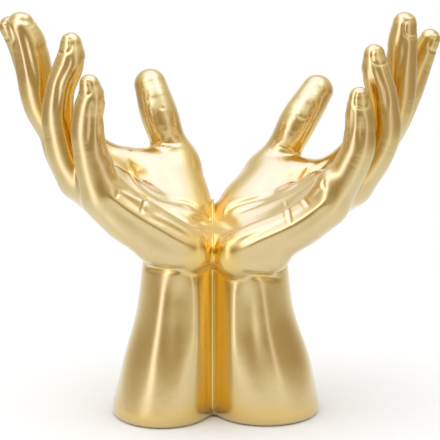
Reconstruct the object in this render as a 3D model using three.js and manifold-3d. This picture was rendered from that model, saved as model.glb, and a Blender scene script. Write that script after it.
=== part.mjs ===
// Hand sculpture: two cupped hands that rise from flared forearms, joined along one upright seam.
// Millimetres, +Z up, +X across both hands, the viewer at -Y. "left" and "right" are the viewer's.
// The two castings meet at x = 0 with the forearms side by side. The whole group is then moved so
// that its origin is the bottom centre of its box.
import * as THREE from 'three';
import { mergeVertices } from 'three/addons/utils/BufferGeometryUtils.js';
import Module from 'manifold-3d';

const wasm = await Module();
wasm.setup();

// Clearances
const JOINT_GAP = 0.3; // between the two castings' mating faces
const BEAD_CLEARANCE = 0.4; // round the joint bead, in its groove
const DOWEL_CLEARANCE = 0.3;
const PLUG_CLEARANCE = 0.3;
const PAD_CLEARANCE = 0.3;

// Forearms: an oval column whose half sizes are given at even heights from the base to the wrist
const WRIST_HEIGHT = 96;
const FOREARM_TOP_ROUND = 12;
const FOREARM_RISE = 16; // how far the column reaches into the palm above the wrist
const BASE_EDGE_ROUND = 10;
const BASE_SINK = 1.5; // how far below the base the edge's rounding would end
const MATING_FLAT = 1.2; // how much of each oval the mating face cuts away
const FOREARMS = {
  left: { halfWidths: [32.2, 28.3, 24, 21.9], halfDepths: [37.5, 35, 31.5, 29.2], depthShift: -1.5 },
  right: { halfWidths: [34.1, 30.8, 25.6, 23.5], halfDepths: [35, 33.5, 30.6, 29.1], depthShift: 0.5 },
};

// Every chain below is a run of tapered round flesh. Its root is [out from the joint plane, depth, height
// above the wrist]. Angles are in degrees: leans tilt outward from upright, splays turn away from the
// viewer. Girths are the radii at the joints.

// Rays: palm bone and finger in one chain. The hands share bone lengths, girths and splays, and each
// scales the lengths by its reach. The first palmSegments lie in the palm.
const RAYS = {
  little: {
    lengths: [33.5, 32.5, 33, 17, 11.5, 8],
    girths: [10.5, 11.3, 11.2, 10.3, 9.2, 8.2, 6],
    splays: [-12, -2, -4, -3, -5, 0],
    palmSegments: 2,
  },
  ring: {
    lengths: [33.5, 47, 31.5, 22.5, 20, 10.5],
    girths: [11, 11, 12, 10.2, 8.9, 8.7, 6.4],
    splays: [-5, -1, -2, -3, 0, 5],
    palmSegments: 2,
  },
  middle: {
    lengths: [33, 51, 25.5, 21, 31.5, 16],
    girths: [11, 10.5, 12, 10.4, 9.6, 9.3, 7.4],
    splays: [3, 0, 2, 0, 2, -4],
    palmSegments: 2,
  },
  index: {
    lengths: [35.5, 50.5, 25, 23.5, 24, 16],
    girths: [11, 10, 12, 10.3, 9.4, 8.3, 6.2],
    splays: [11, 2, 2, 2, 5, -4],
    palmSegments: 2,
  },
  thumb: {
    lengths: [33.5, 19.5, 18.5, 21],
    girths: [14, 13.2, 10.7, 11.1, 9.6],
    splays: [37, 15, 6, 5],
    palmSegments: 1,
  },
};
const POSES = {
  left: {
    little: { root: [14.5, -19.5, 7.5], leans: [61, 43, 14, 1, -11, 6], reach: 1 },
    ring: { root: [15, -8, 9.5], leans: [62, 50, 21, -2, -19, -3], reach: 1 },
    middle: { root: [15.5, 6, 10], leans: [62, 52, 27, 27, 6, 20], reach: 0.99 },
    index: { root: [16, 18, 11.5], leans: [61, 51, 28, 27, 20, 29], reach: 1 },
    thumb: { root: [14, 18, 26], leans: [17, 21, 18, 18], reach: 0.935 },
  },
  right: {
    little: { root: [16, -19.5, 5.5], leans: [61, 49, 29, 8, -3, -2], reach: 1 },
    ring: { root: [17, -8, 7.5], leans: [61, 54, 34, 2, -14, -8], reach: 1 },
    middle: { root: [18, 6, 8.5], leans: [61, 55, 33, 24, 3, 4], reach: 1.02 },
    index: { root: [19, 18, 9.5], leans: [60, 56, 41, 27, 21, 23], reach: 1 },
    thumb: { root: [15, 18, 23], leans: [42, 32, 27, 34], reach: 1.06 },
  },
};
// Flesh that follows no bone, joined to the palm in this order: the ball of the thumb and its inner
// slope, the skin between thumb and index, the palm's outer edge and hollow, the heel, and the saddle
// where the two hands meet
const FLESH = {
  left: {
    ball: { root: [15, 9, 24], leans: [49, 63] },
    slope: { root: [19, 24, 33], leans: [42, 76] },
    web: { root: [25, 38, 57], leans: [114, 84, 66, 58] },
    edge: { root: [12, -27, 16.5], leans: [55, 57, 53, 45, 19] },
    hollow: { root: [20, -2, 22], leans: [60, 52] },
    heel: { root: [13, -22, 11], leans: [78] },
    saddle: { root: [4, -13, 11], leans: [0] },
  },
  right: {
    ball: { root: [16, 9, 23], leans: [54, 68] },
    slope: { root: [21, 24, 31], leans: [54, 82] },
    web: { root: [35.5, 38, 47.5], leans: [88, 97, 70, 50] },
    edge: { root: [13, -27, 14.5], leans: [62, 68, 60, 40, 18] },
    hollow: { root: [21, -2, 20], leans: [64, 56] },
    heel: { root: [14, -22, 7.5], leans: [84] },
    saddle: { root: [4, -13, 11], leans: [0] },
  },
};
const FLESH_SHAPES = {
  ball: { lengths: [27, 17.5], girths: [12, 13, 9], splays: [26, 27] },
  slope: { lengths: [23, 18], girths: [11.5, 11.5, 8], splays: [12, 2] },
  web: { lengths: [14, 14, 15.5, 13], girths: [10, 7.2, 6.8, 8, 9], splays: [-8, -17, -11, -6] },
  edge: { lengths: [12.2, 23.7, 17, 11, 10.6], girths: [9, 9, 9, 8.5, 8, 8], splays: [-6, -3, 0, 2, 0] },
  hollow: { lengths: [26, 24], girths: [9, 10.5, 9.5], splays: [4, 2] },
  heel: { lengths: [21], girths: [12.6, 11.8], splays: [-4] },
  saddle: { lengths: [34], girths: [10, 11], splays: [80] },
};
// How far the flesh flows from one form into the next
const BLENDS = {
  palm: 18, ball: 16, slope: 14, web: 14, edge: 12, hollow: 16, heel: 8, saddle: 8,
  knuckles: 6, fingerWebs: 3, thumb: 6, wrist: 3,
};

// Joint between the castings
const BEAD_RADIUS = 1;
const BEAD_START = 4; // height of the bead's lower ends above the castings' base
const DOWEL_RADIUS = 4;
const DOWEL_LENGTH = 24;
const DOWEL_CHAMFER = 0.8;
const DOWEL_HEIGHTS = { lower_dowel: 24, upper_dowel: WRIST_HEIGHT - 4 };

// Underside: a core pocket with its plug in each forearm, and felt pads in shallow recesses
const CORE_MOUTH_RADIUS = 11;
const CORE_END_RADIUS = 7;
const CORE_HEIGHT = 62;
const CORE_LEAN = 6; // degrees towards the joint plane, with the forearm
const PLUG_RADIUS = 12.7;
const PLUG_THICKNESS = 6;
const PLUG_INSET = 1;
const PLUG_CHAMFER = 1;
const PAD_RADIUS = 7;
const PAD_THICKNESS = 1.6;
const PAD_STAND = 0.8; // how far a pad stands out of the base
const PAD_SPREAD = 23.5; // from the forearm's axis, to the front and to the back

// Facet sizes
const FACET = 5.3; // across, and the largest move of a point onto the surface
const FACET_HEIGHTS = { base: 4, forearm: 11, palm: 5.2, fingers: 6 };
const PALM_TOP = WRIST_HEIGHT + 69; // height where the fingers stand apart
const BOX_MARGIN = 2 * FACET; // room for the grid round a casting
const BELOW_BASE = 5; // how far below the base the grid starts
const CURVE_STEPS = 3; // straight steps along each bone
const BEAD_STEP = 6.5;
const BEAD_SIDES = 6;
const ROUND_SIDES = 16;
const SLOPE_STEP = 0.05; // how far apart a field is read to find its slope
const LEAST_STEEPNESS = 0.25;
const LEAST_LENGTH = 1e-9;
const MERGE_DISTANCE = 1e-5;
const OUTLINE_PASSES = 5;

const SIDES = { left: -1, right: 1 };
const GOLD = { color: 0xd9b566, roughness: 0.22, metalness: 1.0 };

// Field helpers: a form is a function of (x, y, z) that is negative inside, in millimetres
function blend(a, b, width) {
  const h = Math.max(width - Math.abs(a - b), 0) / width;
  return Math.min(a, b) - (h * h * h * width) / 6;
}

function blendCut(a, b, width) {
  return -blend(-a, -b, width);
}

// Uniform Catmull-Rom value between evenly spaced stations, with u from 0 to 1 over them all
function along(stations, u) {
  const spans = stations.length - 1;
  const at = THREE.MathUtils.clamp(u, 0, 1) * spans;
  const i = Math.min(Math.floor(at), spans - 1);
  const t = at - i;
  const b = stations[i];
  const c = stations[i + 1];
  const a = i > 0 ? stations[i - 1] : 2 * b - c;
  const d = i + 2 <= spans ? stations[i + 2] : 2 * c - b;
  return 0.5 * (2 * b + (c - a) * t + (2 * a - 5 * b + 4 * c - d) * t * t + (3 * b - a - 3 * c + d) * t ** 3);
}

// Joints of a chain, as Vector4 with the radius in w, worked out from its root, lengths and angles
function chainJoints(side, { lengths, girths, splays }, { root, leans, reach = 1 }) {
  const point = new THREE.Vector3(side * root[0], root[1], WRIST_HEIGHT + root[2]);
  const joints = [new THREE.Vector4(point.x, point.y, point.z, girths[0])];
  lengths.forEach((shared, i) => {
    const length = shared * reach;
    const lean = THREE.MathUtils.degToRad(leans[i]);
    const splay = THREE.MathUtils.degToRad(splays[i]);
    const upright = length * Math.cos(splay);
    point.x += side * upright * Math.sin(lean);
    point.y += length * Math.sin(splay);
    point.z += upright * Math.cos(lean);
    joints.push(new THREE.Vector4(point.x, point.y, point.z, girths[i + 1]));
  });
  return joints;
}

// The chain's joints with a smooth curve of CURVE_STEPS steps between each two
function smoothChain(joints) {
  const spans = joints.length - 1;
  const count = spans * CURVE_STEPS;
  const axes = ['x', 'y', 'z', 'w'].map((axis) => joints.map((joint) => joint[axis]));
  return Array.from({ length: count + 1 }, (_, i) => {
    return new THREE.Vector4(...axes.map((values) => along(values, i / count)));
  });
}

// Distance to a chain of tapered round segments
function chainField(points) {
  const segments = points.slice(1).map((b, i) => {
    const a = points[i];
    const [dx, dy, dz, dr] = [b.x - a.x, b.y - a.y, b.z - a.z, b.w - a.w];
    return { a, dx, dy, dz, dr, lengthSquared: dx * dx + dy * dy + dz * dz };
  });
  return (x, y, z) => {
    let nearest = Infinity;
    for (const { a, dx, dy, dz, dr, lengthSquared } of segments) {
      const px = x - a.x;
      const py = y - a.y;
      const pz = z - a.z;
      const t = Math.min(1, Math.max(0, (px * dx + py * dy + pz * dz) / lengthSquared));
      const distance = Math.hypot(px - dx * t, py - dy * t, pz - dz * t) - a.w - dr * t;
      nearest = Math.min(nearest, distance);
    }
    return nearest;
  };
}

// The forearm's oval column, rounded at its base edge and under the palm
function forearmField(side, { halfWidths, halfDepths, depthShift }) {
  return (x, y, z) => {
    const u = z / WRIST_HEIGHT;
    const a = along(halfWidths, u);
    const b = along(halfDepths, u);
    const px = x - side * (a - MATING_FLAT);
    const py = y - depthShift;
    const k0 = Math.hypot(px / a, py / b);
    const k1 = Math.hypot(px / (a * a), py / (b * b)) + LEAST_LENGTH;
    const wall = (k0 * (k0 - 1)) / k1;
    const capped = blendCut(wall, z - WRIST_HEIGHT - FOREARM_RISE, FOREARM_TOP_ROUND);
    return blendCut(capped, -z - BASE_SINK, BASE_EDGE_ROUND);
  };
}

// One whole hand with its forearm, uncut
function handForm(hand) {
  const side = SIDES[hand];
  const pose = POSES[hand];
  const palmForms = [];
  const fingerForms = [];
  let thumbForm = null;
  const everyJoint = [];
  for (const [name, ray] of Object.entries(RAYS)) {
    const joints = chainJoints(side, ray, pose[name]);
    const points = smoothChain(joints);
    const split = ray.palmSegments * CURVE_STEPS;
    palmForms.push(chainField(points.slice(0, split + 1)));
    const digit = chainField(points.slice(split));
    everyJoint.push(...joints);
    if (name === 'thumb') thumbForm = digit;
    else fingerForms.push(digit);
  }
  const fleshForms = Object.entries(FLESH[hand]).map(([name, place]) => {
    const joints = chainJoints(side, FLESH_SHAPES[name], place);
    return { form: chainField(smoothChain(joints)), width: BLENDS[name] };
  });
  const forearm = forearmField(side, FOREARMS[hand]);
  const field = (x, y, z) => {
    let palm = palmForms[0](x, y, z);
    for (const form of palmForms.slice(1)) palm = blend(palm, form(x, y, z), BLENDS.palm);
    for (const { form, width } of fleshForms) palm = blend(palm, form(x, y, z), width);
    let fingers = fingerForms[0](x, y, z);
    for (const form of fingerForms.slice(1)) fingers = blend(fingers, form(x, y, z), BLENDS.fingerWebs);
    let whole = blend(palm, fingers, BLENDS.knuckles);
    whole = blend(whole, thumbForm(x, y, z), BLENDS.thumb);
    return blend(whole, forearm(x, y, z), BLENDS.wrist);
  };
  return { field, everyJoint };
}

// Even steps of at most the given size from one value to another
function steps(from, to, size) {
  const count = Math.ceil((to - from) / size);
  return Array.from({ length: count + 1 }, (_, i) => from + ((to - from) * i) / count);
}

// A closed mesh of the surface where the field is zero: one vertex for each patch that crosses a cell,
// then moved onto the surface along the field's slope
function surfaceMesh(field, xs, ys, zs) {
  const [nx, ny, nz] = [xs.length, ys.length, zs.length];
  const node = (i, j, k) => (k * ny + j) * nx + i;
  const values = new Float64Array(nx * ny * nz);
  for (let k = 0; k < nz; k++) {
    for (let j = 0; j < ny; j++) {
      for (let i = 0; i < nx; i++) values[node(i, j, k)] = field(xs[i], ys[j], zs[k]);
    }
  }
  const corners = [];
  for (let c = 0; c < 8; c++) corners.push([c & 1, (c >> 1) & 1, c >> 2]);
  const edges = [];
  for (let c = 0; c < 8; c++) {
    for (const bit of [1, 2, 4]) if (!(c & bit)) edges.push([c, c | bit]);
  }
  const positions = [];
  const patchOf = new Int32Array(nx * ny * nz * 8).fill(-1);
  for (let k = 0; k < nz - 1; k++) {
    for (let j = 0; j < ny - 1; j++) {
      for (let i = 0; i < nx - 1; i++) {
        const v = corners.map(([a, b, c]) => values[node(i + a, j + b, k + c)]);
        const crossing = edges.filter(([a, b]) => v[a] < 0 !== v[b] < 0);
        if (crossing.length === 0) continue;
        const label = v.map((value, c) => (value < 0 ? c : -1));
        for (let pass = 0; pass < 4; pass++) {
          for (const [a, b] of edges) {
            if (v[a] < 0 && v[b] < 0) label[a] = label[b] = Math.min(label[a], label[b]);
          }
        }
        const sums = new Map();
        for (const [a, b] of crossing) {
          const owner = v[a] < 0 ? label[a] : label[b];
          const t = v[a] / (v[a] - v[b]);
          const sum = sums.get(owner) ?? [0, 0, 0, 0];
          const [pa, pb] = [corners[a], corners[b]];
          sum[0] += THREE.MathUtils.lerp(xs[i + pa[0]], xs[i + pb[0]], t);
          sum[1] += THREE.MathUtils.lerp(ys[j + pa[1]], ys[j + pb[1]], t);
          sum[2] += THREE.MathUtils.lerp(zs[k + pa[2]], zs[k + pb[2]], t);
          sum[3] += 1;
          sums.set(owner, sum);
        }
        for (const [owner, sum] of sums) {
          const index = positions.length;
          positions.push(new THREE.Vector3(sum[0] / sum[3], sum[1] / sum[3], sum[2] / sum[3]));
          for (let c = 0; c < 8; c++) if (label[c] === owner) patchOf[node(i, j, k) * 8 + c] = index;
        }
      }
    }
  }
  const triangles = [];
  const step = [[1, 0, 0], [0, 1, 0], [0, 0, 1]];
  const patchAt = (cell, at) => {
    const corner = at[0] - cell[0] + 2 * (at[1] - cell[1]) + 4 * (at[2] - cell[2]);
    return patchOf[node(...cell) * 8 + corner];
  };
  for (let k = 1; k < nz - 1; k++) {
    for (let j = 1; j < ny - 1; j++) {
      for (let i = 1; i < nx - 1; i++) {
        const here = values[node(i, j, k)] < 0;
        step.forEach((way, axis) => {
          const next = [i + way[0], j + way[1], k + way[2]];
          if (here === values[node(...next)] < 0) return;
          const solid = here ? [i, j, k] : next;
          const u = step[(axis + 1) % 3];
          const w = step[(axis + 2) % 3];
          const ring = [[0, 0], [1, 0], [1, 1], [0, 1]].map(([a, b]) => {
            return patchAt([i - a * u[0] - b * w[0], j - a * u[1] - b * w[1], k - a * u[2] - b * w[2]], solid);
          });
          if (!here) ring.reverse();
          const [a, b, c, d] = ring.map((index) => positions[index]);
          const [e, f, g, h] = ring;
          if (a.distanceToSquared(c) <= b.distanceToSquared(d)) triangles.push(e, f, g, e, g, h);
          else triangles.push(f, g, h, f, h, e);
        });
      }
    }
  }
  positions.forEach((point) => moveToSurface(field, point));
  const geometry = new THREE.BufferGeometry();
  geometry.setAttribute('position', new THREE.Float32BufferAttribute(positions.flatMap((p) => [p.x, p.y, p.z]), 3));
  geometry.setIndex(triangles);
  return geometry;
}

function slopeAt(field, { x, y, z }) {
  return new THREE.Vector3(
    field(x + SLOPE_STEP, y, z) - field(x - SLOPE_STEP, y, z),
    field(x, y + SLOPE_STEP, z) - field(x, y - SLOPE_STEP, z),
    field(x, y, z + SLOPE_STEP) - field(x, y, z - SLOPE_STEP),
  ).divideScalar(2 * SLOPE_STEP);
}

// Slides a point along the field's slope onto the surface, at most half a facet at a time
function moveToSurface(field, point) {
  for (let pass = 0; pass < 2; pass++) {
    const slope = slopeAt(field, point);
    const steepness = Math.max(slope.lengthSq(), LEAST_STEEPNESS);
    const distance = field(point.x, point.y, point.z) / steepness;
    point.addScaledVector(slope, -THREE.MathUtils.clamp(distance, -FACET / 2, FACET / 2));
  }
}

// Solids
function solidOf(geometry) {
  const bare = new THREE.BufferGeometry();
  bare.setAttribute('position', geometry.getAttribute('position').clone());
  bare.setIndex(geometry.getIndex());
  const merged = mergeVertices(bare, MERGE_DISTANCE);
  return new wasm.Manifold(new wasm.Mesh({
    numProp: 3,
    vertProperties: new Float32Array(merged.getAttribute('position').array),
    triVerts: new Uint32Array(merged.getIndex().array),
  }));
}

function geometryOf(solid) {
  const mesh = solid.getMesh();
  const geometry = new THREE.BufferGeometry();
  geometry.setAttribute('position', new THREE.BufferAttribute(mesh.vertProperties, 3));
  geometry.setIndex(new THREE.BufferAttribute(mesh.triVerts, 1));
  geometry.computeVertexNormals();
  return geometry;
}

// A round bar that turns about +Z, from a profile of [radius, height] pairs that ends on the axis
function turned(profile) {
  return new THREE.LatheGeometry(profile.map(([r, h]) => new THREE.Vector2(r, h)), ROUND_SIDES).rotateX(Math.PI / 2);
}

// A bar with both rims chamfered, standing on z = 0
function chamferedBar(radius, length, chamfer) {
  return turned([[0, 0], [radius - chamfer, 0], [radius, chamfer], [radius, length - chamfer],
    [radius - chamfer, length], [0, length]]);
}

function straightBar(radius, length) {
  return turned([[0, 0], [radius, 0], [radius, length], [0, length]]);
}

// The half space on one side's own side of the joint plane, above the base
function ownSide(side, size) {
  const block = new THREE.BoxGeometry(size, size, size);
  return solidOf(block.translate(side * (size / 2 + JOINT_GAP / 2), 0, size / 2));
}

const forearmAxis = (hand) => SIDES[hand] * (FOREARMS[hand].halfWidths[0] - MATING_FLAT);
const plugTop = PLUG_INSET + PLUG_THICKNESS;

function plugGeometry(hand) {
  const bar = chamferedBar(PLUG_RADIUS, PLUG_THICKNESS, PLUG_CHAMFER);
  return bar.translate(forearmAxis(hand), FOREARMS[hand].depthShift, PLUG_INSET);
}

// The pocket that the mould's core leaves, with the plug's seat at its mouth
function corePocket(hand) {
  const seat = straightBar(PLUG_RADIUS + PLUG_CLEARANCE, 2 * (plugTop + PLUG_CLEARANCE));
  seat.translate(0, 0, -plugTop - PLUG_CLEARANCE);
  const core = turned([[0, 0], [CORE_MOUTH_RADIUS, 0], [CORE_END_RADIUS, CORE_HEIGHT], [0, CORE_HEIGHT]]);
  core.rotateY(THREE.MathUtils.degToRad(-SIDES[hand] * CORE_LEAN));
  return solidOf(seat).add(solidOf(core)).translate([forearmAxis(hand), FOREARMS[hand].depthShift, 0]);
}

const padPlaces = (hand) => [-1, 1].map((row) => [forearmAxis(hand), FOREARMS[hand].depthShift + row * PAD_SPREAD]);
const padRecess = PAD_THICKNESS - PAD_STAND;

function padRecesses(hand) {
  const recesses = padPlaces(hand).map(([x, y]) => {
    const recess = straightBar(PAD_RADIUS + PAD_CLEARANCE, 2 * padRecess);
    return solidOf(recess.translate(x, y, -padRecess));
  });
  return recesses[0].add(recesses[1]);
}

function dowelHoles() {
  const length = DOWEL_LENGTH + 2 * DOWEL_CLEARANCE;
  const holes = Object.values(DOWEL_HEIGHTS).map((height) => {
    const bar = straightBar(DOWEL_RADIUS + DOWEL_CLEARANCE, length).translate(0, 0, -length / 2);
    return solidOf(bar.rotateY(Math.PI / 2).translate(0, 0, height));
  });
  return holes[0].add(holes[1]);
}

function castingSolid(hand, form, groove) {
  const side = SIDES[hand];
  const box = new THREE.Box3();
  form.everyJoint.forEach(({ x, y, z, w }) => {
    box.expandByPoint(new THREE.Vector3(x, y, z).subScalar(w + BOX_MARGIN));
    box.expandByPoint(new THREE.Vector3(x, y, z).addScalar(w + BOX_MARGIN));
  });
  const { halfWidths, halfDepths } = FOREARMS[hand];
  const widest = 2 * Math.max(...halfWidths) + BOX_MARGIN;
  const deepest = Math.max(...halfDepths) + BOX_MARGIN;
  box.expandByPoint(new THREE.Vector3(side * widest, -deepest, -BOX_MARGIN));
  box.expandByPoint(new THREE.Vector3(-side * 2 * BOX_MARGIN, deepest, 0));
  const xs = steps(box.min.x, box.max.x, FACET);
  const ys = steps(box.min.y, box.max.y, FACET);
  const { base, forearm, palm, fingers } = FACET_HEIGHTS;
  const zs = [
    ...steps(-BELOW_BASE, base, base),
    ...steps(base, WRIST_HEIGHT - forearm, forearm).slice(1),
    ...steps(WRIST_HEIGHT - forearm, PALM_TOP, palm).slice(1),
    ...steps(PALM_TOP, box.max.z, fingers).slice(1),
  ];
  const uncut = solidOf(surfaceMesh(form.field, xs, ys, zs));
  const half = uncut.intersect(ownSide(side, 2 * box.getSize(new THREE.Vector3()).length()));
  return half.subtract(corePocket(hand)).subtract(padRecesses(hand)).subtract(dowelHoles()).subtract(groove);
}

// Joint bead: its centre line walks round the hands in the joint plane, from the front of the base over
// the saddle to the back, with its radius as the distance to them
function beadLine(fields) {
  const outline = (x, y, z) => Math.min(fields.left(x, y, z), fields.right(x, y, z)) - BEAD_RADIUS;
  const inPlane = (point) => slopeAt(outline, point).setX(0);
  const ontoOutline = (point) => {
    for (let pass = 0; pass < OUTLINE_PASSES; pass++) {
      const slope = inPlane(point);
      const distance = outline(0, point.y, point.z) / Math.max(slope.length(), LEAST_LENGTH);
      point.addScaledVector(slope.normalize(), -THREE.MathUtils.clamp(distance, -BEAD_STEP, BEAD_STEP));
    }
    return point;
  };
  const start = new THREE.Vector3(0, 0, BEAD_START);
  while (outline(0, start.y, start.z) < 0) start.y -= BEAD_RADIUS;
  const points = [ontoOutline(start).setZ(BEAD_START)];
  const most = Math.ceil((4 * WRIST_HEIGHT) / BEAD_STEP);
  while (points.length < most) {
    const last = points.at(-1);
    const outward = inPlane(last).normalize();
    const ahead = new THREE.Vector3(0, outward.z, -outward.y).multiplyScalar(BEAD_STEP);
    const next = ontoOutline(last.clone().add(ahead));
    if (next.z < BEAD_START) break;
    points.push(next);
  }
  return [...points, points.at(-1).clone().setZ(BEAD_START)];
}

// A round bar along the line, with a step for each of its points and both ends lowered by a clearance
function barAlong(line, radius, clearance) {
  const lowered = [line[0], line.at(-1)].map((end) => end.clone().setZ(end.z - clearance));
  const path = new THREE.CatmullRomCurve3([lowered[0], ...line.slice(1, -1), lowered[1]]);
  const section = new THREE.Shape();
  section.absarc(0, 0, radius, 0, 2 * Math.PI);
  const options = { steps: line.length, curveSegments: BEAD_SIDES / 2, extrudePath: path };
  return new THREE.ExtrudeGeometry(section, options);
}

function named(name, geometry, options) {
  const mesh = new THREE.Mesh(geometry, new THREE.MeshStandardMaterial(options));
  mesh.name = name;
  return mesh;
}

// Assembly
const sculpture = new THREE.Group();
const forms = { left: handForm('left'), right: handForm('right') };
const seam = beadLine({ left: forms.left.field, right: forms.right.field });
const groove = solidOf(barAlong(seam, BEAD_RADIUS + BEAD_CLEARANCE, BEAD_CLEARANCE));
for (const hand of Object.keys(SIDES)) {
  const casting = named(`${hand}_hand_casting`, geometryOf(castingSolid(hand, forms[hand], groove)), GOLD);
  sculpture.add(casting);
  sculpture.add(named(`${hand}_base_plug`, plugGeometry(hand), { color: 0x2b2a28, roughness: 0.8, metalness: 0 }));
  padPlaces(hand).forEach(([x, y], row) => {
    const pad = straightBar(PAD_RADIUS, PAD_THICKNESS).translate(x, y, -PAD_STAND);
    const place = row === 0 ? 'front' : 'back';
    sculpture.add(named(`${hand}_${place}_pad`, pad, { color: 0x5a4a3a, roughness: 1, metalness: 0 }));
  });
}
sculpture.add(named('joint_bead', barAlong(seam, BEAD_RADIUS, 0), GOLD));
for (const [name, height] of Object.entries(DOWEL_HEIGHTS)) {
  const dowel = chamferedBar(DOWEL_RADIUS, DOWEL_LENGTH, DOWEL_CHAMFER).translate(0, 0, -DOWEL_LENGTH / 2);
  dowel.rotateY(Math.PI / 2).translate(0, 0, height);
  sculpture.add(named(name, dowel, { color: 0xb9c0c4, roughness: 0.4, metalness: 1 }));
}

// The origin is the bottom centre of the whole object's box
sculpture.updateMatrixWorld(true);
const bounds = new THREE.Box3().setFromObject(sculpture, true);
const centre = bounds.getCenter(new THREE.Vector3());
sculpture.position.set(-centre.x, -centre.y, -bounds.min.z);
sculpture.updateMatrixWorld(true);

export default sculpture;
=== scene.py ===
"""Two cupped hands in satin gold on flared forearms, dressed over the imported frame.

The castings are worked out as one smooth field for each hand, in millimetres from the foot of the
joint plane, meshed finely and then carved with creases, tendons and nails.
"""
import math
import bmesh
import bpy
import numpy as np
from mathutils import Matrix, Vector


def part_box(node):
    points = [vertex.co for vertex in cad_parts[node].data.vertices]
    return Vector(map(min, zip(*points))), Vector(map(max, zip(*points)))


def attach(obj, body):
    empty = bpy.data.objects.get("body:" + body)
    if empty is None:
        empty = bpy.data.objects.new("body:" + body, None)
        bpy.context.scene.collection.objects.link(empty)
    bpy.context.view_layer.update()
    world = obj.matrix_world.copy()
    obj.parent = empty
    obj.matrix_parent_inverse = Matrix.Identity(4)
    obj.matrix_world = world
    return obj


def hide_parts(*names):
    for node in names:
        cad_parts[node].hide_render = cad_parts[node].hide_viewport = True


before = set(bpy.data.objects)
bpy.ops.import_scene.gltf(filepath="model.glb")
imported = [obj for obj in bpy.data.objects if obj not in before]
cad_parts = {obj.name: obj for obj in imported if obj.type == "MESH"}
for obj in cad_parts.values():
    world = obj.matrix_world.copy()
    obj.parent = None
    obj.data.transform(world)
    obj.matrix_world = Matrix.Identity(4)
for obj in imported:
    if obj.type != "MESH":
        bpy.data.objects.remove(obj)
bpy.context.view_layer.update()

MM = 0.001
SIDES = {"left": -1, "right": 1}

# Castings, in millimetres, as the frame has them
JOINT_GAP = 0.3
WRIST_HEIGHT = 96
FOREARM_RISE = 16
FOREARM_TOP_ROUND = 12
BASE_EDGE_ROUND = 10
BASE_SINK = 1.5
MATING_FLAT = 1.2
FOREARMS = {
    "left": dict(half_widths=[32.2, 28.3, 24, 21.9], half_depths=[37.5, 35, 31.5, 29.2], shift=-1.5),
    "right": dict(half_widths=[34.1, 30.8, 25.6, 23.5], half_depths=[35, 33.5, 30.6, 29.1], shift=0.5),
}
# Rays: bone lengths, the radii at the joints, turns away from the viewer, and how many bones lie in the palm
RAYS = {
    "little": ([33.5, 32.5, 33, 17, 11.5, 8], [10.5, 11.3, 11.2, 10.3, 9.2, 8.2, 6], [-12, -2, -4, -3, -5, 0],
               2),
    "ring": ([33.5, 47, 31.5, 22.5, 20, 10.5], [11, 11, 12, 10.2, 8.9, 8.7, 6.4], [-5, -1, -2, -3, 0, 5], 2),
    "middle": ([33, 51, 25.5, 21, 31.5, 16], [11, 10.5, 12, 10.4, 9.6, 9.3, 7.4], [3, 0, 2, 0, 2, -4], 2),
    "index": ([35.5, 50.5, 25, 23.5, 24, 16], [11, 10, 12, 10.3, 9.4, 8.3, 6.2], [11, 2, 2, 2, 5, -4], 2),
    "thumb": ([33.5, 19.5, 18.5, 20.5], [14, 13.2, 10.9, 11.6, 10], [37, 6, 1, 22], 1),
}
# Root (out from the joint plane, depth, height above the wrist), leans outward, and what scales the lengths
POSES = {
    "left": {
        "little": ([14.5, -19.5, 7.5], [61, 43, 14, 1, -11, 6], 1),
        "ring": ([15, -8, 9.5], [62, 50, 21, -2, -19, -3], 1),
        "middle": ([15.5, 6, 10], [62, 52, 27, 27, 9, 20], 0.99),
        "index": ([16, 18, 11.5], [61, 51, 28, 27, 20, 29], 1),
        "thumb": ([14, 18, 26], [17, 21, 18, 18], 0.935),
    },
    "right": {
        "little": ([16, -19.5, 5.5], [61, 49, 29, 8, -3, -2], 1),
        "ring": ([17, -8, 7.5], [61, 54, 34, 2, -14, -8], 1),
        "middle": ([18, 6, 8.5], [61, 55, 33, 24, 3, 4], 1.02),
        "index": ([19, 18, 9.5], [60, 56, 41, 27, 21, 23], 1),
        "thumb": ([15, 18, 23], [42, 32, 27, 34], 1.06),
    },
}
# Fuller radii at the joints of one finger
FULLER = {("left", "middle"): [0, 0, 0, 0.3, 0.9, 1.5, 1.3]}
# Flesh that follows no bone: lengths, radii and turns away, then root and leans for each hand
FLESH_SHAPES = {
    "ball": ([27, 17.5], [12, 13, 9], [26, 27]),
    "slope": ([23, 18], [11.5, 11.5, 8], [12, 2]),
    "web": ([14, 14, 15.5, 13], [10, 7.2, 6.8, 8, 9], [-8, -17, -11, -6]),
    "edge": ([12.2, 23.7, 17, 11, 10.6], [9, 9, 9, 8.5, 8, 8], [-6, -3, 0, 2, 0]),
    "hollow": ([26, 24], [9, 10.5, 9.5], [4, 2]),
    "heel": ([21], [12.6, 11.8], [-4]),
    "saddle": ([34], [10, 11], [80]),
}
FLESH = {
    "left": {
        "ball": ([15, 9, 24], [49, 63]),
        "slope": ([19, 24, 33], [42, 76]),
        "web": ([25, 38, 57], [114, 84, 66, 58]),
        "edge": ([12, -27, 16.5], [55, 57, 53, 45, 19]),
        "hollow": ([20, -2, 22], [60, 52]),
        "heel": ([13, -22, 11], [78]),
        "saddle": ([4, -13, 11], [0]),
    },
    "right": {
        "ball": ([16, 9, 23], [54, 68]),
        "slope": ([21, 24, 31], [54, 82]),
        "web": ([35.5, 38, 47.5], [88, 97, 70, 50]),
        "edge": ([13, -27, 14.5], [62, 68, 60, 40, 18]),
        "hollow": ([21, -2, 20], [64, 56]),
        "heel": ([14, -22, 7.5], [84]),
        "saddle": ([4, -13, 11], [0]),
    },
}
BLENDS = dict(palm=18, ball=16, slope=14, web=14, edge=12, hollow=16, heel=8, saddle=8, knuckles=6, fingers=3,
              thumb=6, wrist=3)
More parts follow.
